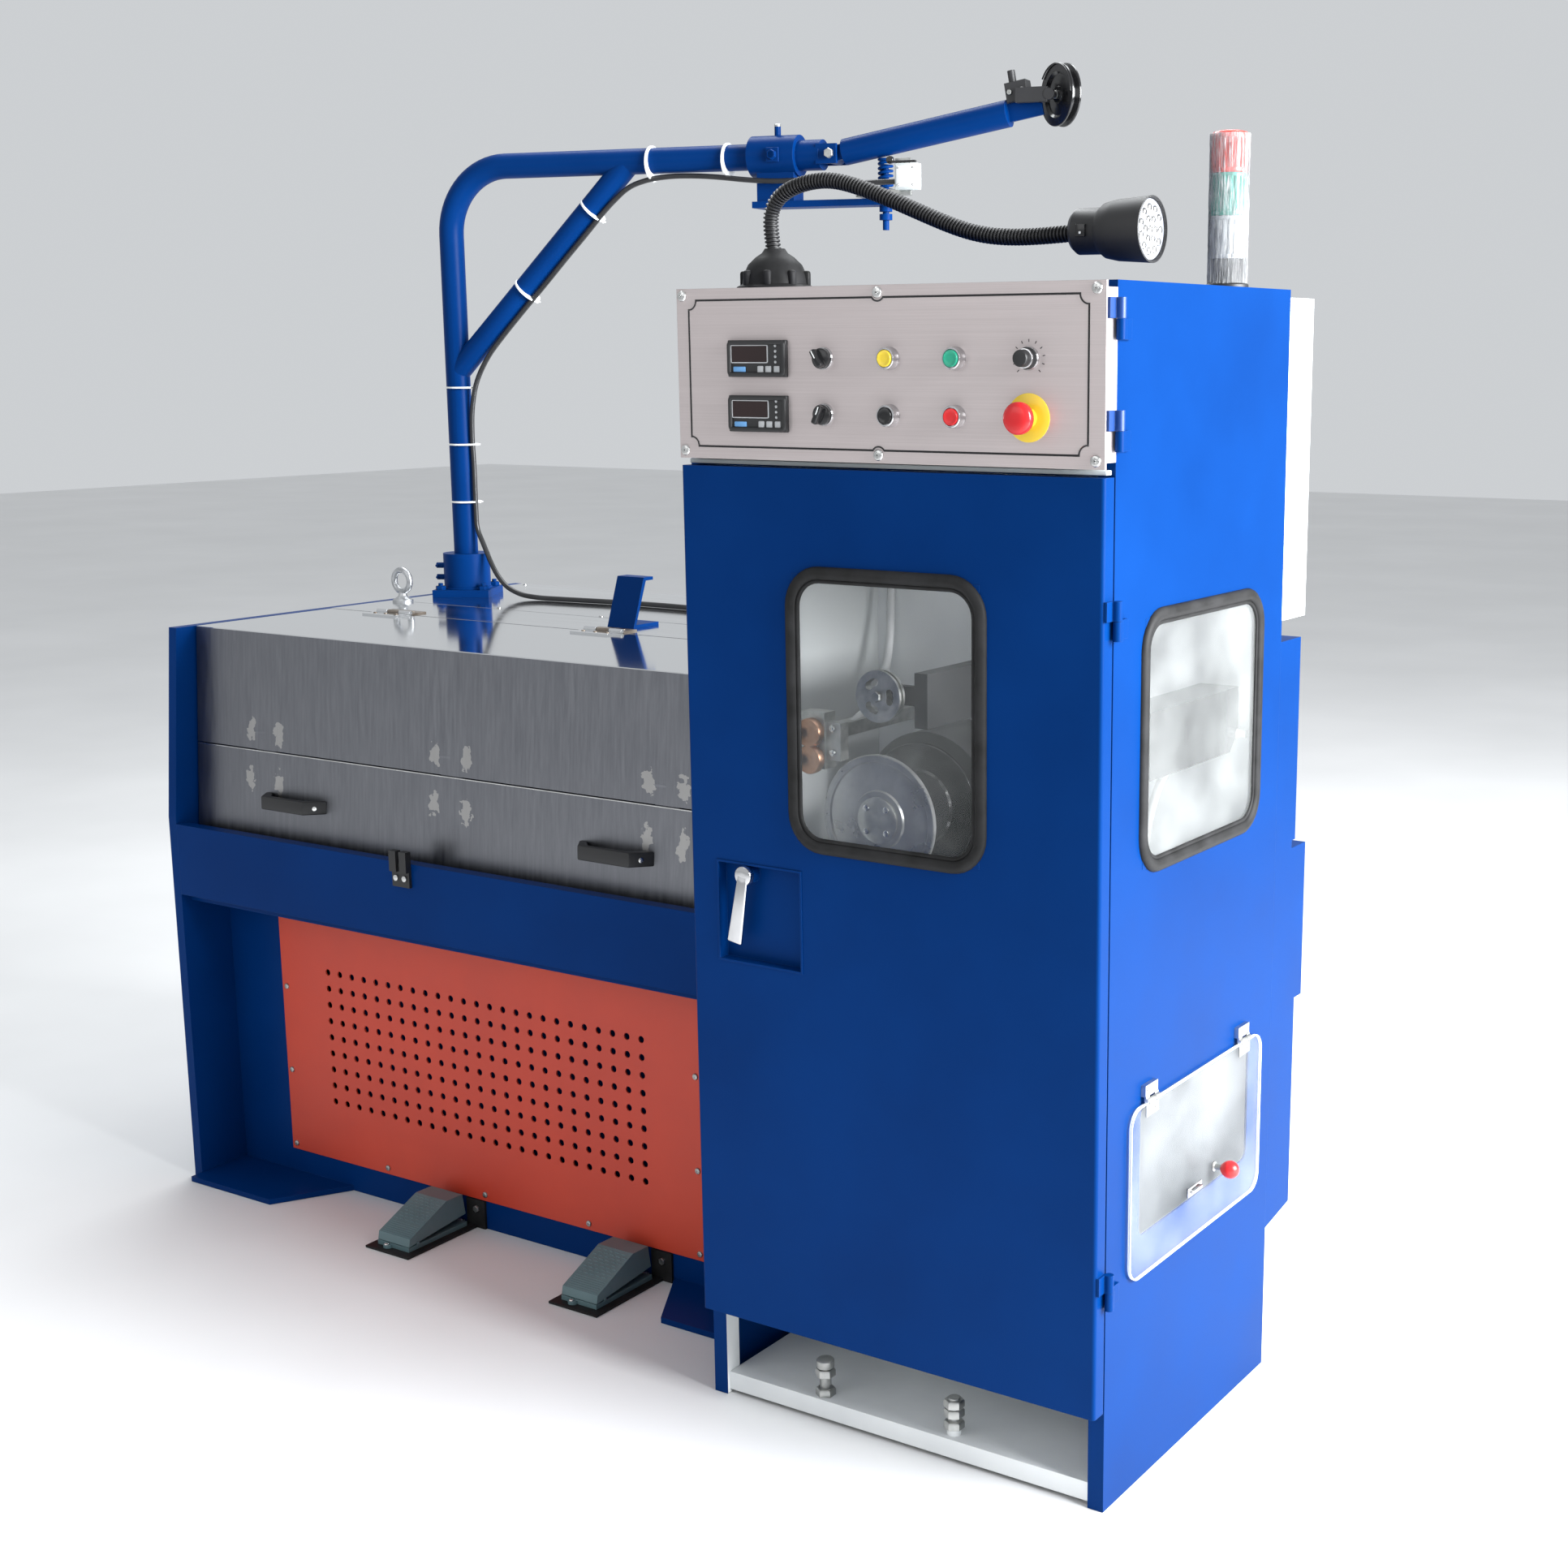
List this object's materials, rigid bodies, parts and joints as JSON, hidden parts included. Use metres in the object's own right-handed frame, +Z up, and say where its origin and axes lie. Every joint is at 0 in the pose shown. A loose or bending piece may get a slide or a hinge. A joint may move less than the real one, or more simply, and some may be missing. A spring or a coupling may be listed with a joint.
{
  "type": "fine wire drawing machine",
  "caption": "Fine wire drawing machine: drawing unit with a folding lid, take-up cabinet with a control panel and windowed door, and an overhead guide arm with a sprung dancer.",
  "frame": {"origin": "on the floor under the drawing unit's lower housing, 361 mm left of the take-up cabinet", "axes": "+X along the machine towards the take-up cabinet, +Y to the machine's rear, +Z up"},
  "size_m": [2.093, 1.2412, 2.044],
  "materials": {
    "blue_paint": "smooth semi-gloss paint",
    "white_paint": "smooth paint",
    "grey_paint": "fine texture",
    "orange_paint": "smooth paint",
    "teal_paint": "hammered",
    "black_paint": "semi-gloss",
    "stainless_sheet": "bright, fine grain",
    "panel_sheet": "brushed",
    "zinc_steel": "zinc plated",
    "chrome": "polished",
    "copper": "machined",
    "black_rubber": "matt",
    "black_plastic": "matt",
    "gloss_black": "gloss",
    "yellow_plastic": "gloss",
    "green_plastic": "gloss",
    "red_plastic": "gloss",
    "lamp_lens": "ribbed",
    "clear_sheet": "clear",
    "spring_blue": "painted wire"
  },
  "bodies": {
    "machine": {"cabinet_shell": "blue_paint", "base_pan": "white_paint", "spindle_wall": "white_paint", "chamber_brackets": "black_paint", "die_holder": "copper", "traverse_drive": "black_plastic", "side_window_seal": "black_rubber", "side_window_pane": "clear_sheet", "signal_tower": "lamp_lens", "work_lamp": "black_plastic", "rear_housing": "blue_paint", "cabinet_hinges": "black_paint", "unit_body": "blue_paint", "end_plate": "blue_paint", "front_beam": "blue_paint", "perforated_panel": "orange_paint", "deck_sheets": "stainless_sheet", "bright_hinges": "zinc_steel", "lid_stop": "blue_paint", "eyebolt": "zinc_steel", "lid_catch": "black_plastic", "mast_base": "blue_paint", "deck_cable": "black_rubber", "electrical_boxes": "grey_paint", "pedal_mats": "black_rubber", "pedal_trays": "teal_paint"},
    "lid": {"lid_upper": "stainless_sheet"},
    "lid_flap": {"lid_flap": "stainless_sheet", "lid_grips": "black_plastic"},
    "door": {"door_panel": "blue_paint", "door_window_seal": "black_rubber", "door_window_pane": "clear_sheet", "handle_cup": "black_plastic"},
    "door_lever": {"door_lever": "chrome"},
    "console": {"console_plate": "panel_sheet", "console_meters": "gloss_black", "control_rings": "chrome"},
    "yellow_button": {"button_yellow": "yellow_plastic"},
    "black_button": {"button_black": "gloss_black"},
    "green_button": {"button_green": "green_plastic"},
    "red_button": {"button_red": "red_plastic"},
    "upper_selector": {"selector_upper": "black_plastic"},
    "lower_selector": {"selector_lower": "black_plastic"},
    "knob": {"speed_knob": "black_plastic"},
    "stop": {"stop_button": "red_plastic"},
    "side_cover": {"side_cover": "clear_sheet", "side_cover_fittings": "chrome"},
    "mast": {"arm_tube": "blue_paint", "arm_head": "blue_paint", "arm_spring": "spring_blue", "limit_switch": "zinc_steel", "mast_cable": "black_rubber"},
    "dancer": {"dancer_arm": "blue_paint", "wheel_bracket": "black_paint"},
    "wheel": {"guide_wheel": "gloss_black"},
    "spool": {"take_up_spool": "black_plastic"},
    "roller": {"guide_roller": "zinc_steel"},
    "left_pedal": {"pedal_tread_left": "teal_paint"},
    "right_pedal": {"pedal_tread_right": "teal_paint"}
  },
  "joints": [
    {"name": "lid_hinge", "type": "hinge", "parent": "machine", "child": "lid", "pos_m": [-0.32, 0.08, 1.052], "axis": [-1, 0, 0], "range_deg": [0, 136]},
    {"name": "flap_fold", "type": "hinge", "parent": "lid", "child": "lid_flap", "pos_m": [-0.32, -0.24789, 0.835], "axis": [1, 0, 0], "range_deg": [0, 90]},
    {"name": "door_hinge", "type": "hinge", "parent": "machine", "child": "door", "pos_m": [1.033, -0.477, 0.77], "axis": [0, 0, 1], "range_deg": [0, 110]},
    {"name": "door_lever_turn", "type": "hinge", "parent": "door", "child": "door_lever", "pos_m": [0.463, -0.505, 0.819], "axis": [0, -1, 0], "range_deg": [0, 60]},
    {"name": "console_hinge", "type": "hinge", "parent": "machine", "child": "console", "pos_m": [1.033, -0.477, 1.5], "axis": [0, 0, 1], "range_deg": [0, 100]},
    {"name": "yellow_button_push", "type": "slide", "parent": "console", "child": "yellow_button", "axis": [0, 1, 0], "range_m": [0, 0.005], "stiffness_N_per_m": 600},
    {"name": "black_button_push", "type": "slide", "parent": "console", "child": "black_button", "axis": [0, 1, 0], "range_m": [0, 0.005], "stiffness_N_per_m": 600},
    {"name": "green_button_push", "type": "slide", "parent": "console", "child": "green_button", "axis": [0, 1, 0], "range_m": [0, 0.005], "stiffness_N_per_m": 600},
    {"name": "red_button_push", "type": "slide", "parent": "console", "child": "red_button", "axis": [0, 1, 0], "range_m": [0, 0.005], "stiffness_N_per_m": 600},
    {"name": "stop_button_push", "type": "slide", "parent": "console", "child": "stop", "axis": [0, 1, 0], "range_m": [0, 0.005], "stiffness_N_per_m": 600},
    {"name": "upper_selector_turn", "type": "hinge", "parent": "console", "child": "upper_selector", "pos_m": [0.61, -0.505, 1.529], "axis": [0, 1, 0], "range_deg": [-45, 45]},
    {"name": "lower_selector_turn", "type": "hinge", "parent": "console", "child": "lower_selector", "pos_m": [0.61, -0.505, 1.457], "axis": [0, 1, 0], "range_deg": [-45, 45]},
    {"name": "speed_knob_turn", "type": "hinge", "parent": "console", "child": "knob", "pos_m": [0.918, -0.505, 1.529], "axis": [0, 1, 0], "range_deg": [-135, 135]},
    {"name": "side_cover_hinge", "type": "hinge", "parent": "machine", "child": "side_cover", "pos_m": [1.032, -0.2, 0.556], "axis": [0, -1, 0], "range_deg": [0, 95]},
    {"name": "mast_swivel", "type": "hinge", "parent": "machine", "child": "mast", "pos_m": [-0.944, 0.398, 1.1], "axis": [0, 0, 1], "range_deg": [-30, 30]},
    {"name": "dancer_pivot", "type": "hinge", "parent": "mast", "child": "dancer", "pos_m": [-0.1275, 0.57752, 1.9], "axis": [-0.2147, 0.9767, 0], "range_deg": [-8, 4], "stiffness_Nm_per_rad": 120, "springref_deg": -2.01, "deforming": ["arm_spring"]},
    {"name": "guide_wheel_spin", "type": "hinge", "parent": "dancer", "child": "wheel", "pos_m": [0.30028, 0.67157, 1.989], "axis": [0.4894, 0.8721, 0], "continuous": true},
    {"name": "spool_spin", "type": "hinge", "parent": "machine", "child": "spool", "pos_m": [0.552, -0.24, 0.871], "axis": [0, 1, 0], "continuous": true},
    {"name": "roller_spin", "type": "hinge", "parent": "machine", "child": "roller", "pos_m": [0.558, -0.3, 1.054], "axis": [0, 1, 0], "continuous": true},
    {"name": "left_pedal_press", "type": "hinge", "parent": "machine", "child": "left_pedal", "pos_m": [-0.438, -0.34, 0.014], "axis": [-1, 0, 0], "range_deg": [0, 6], "stiffness_Nm_per_rad": 30, "springref_deg": -2.86},
    {"name": "right_pedal_press", "type": "hinge", "parent": "machine", "child": "right_pedal", "pos_m": [-0.009, -0.34, 0.014], "axis": [-1, 0, 0], "range_deg": [0, 6], "stiffness_Nm_per_rad": 30, "springref_deg": -2.86}
  ]
}
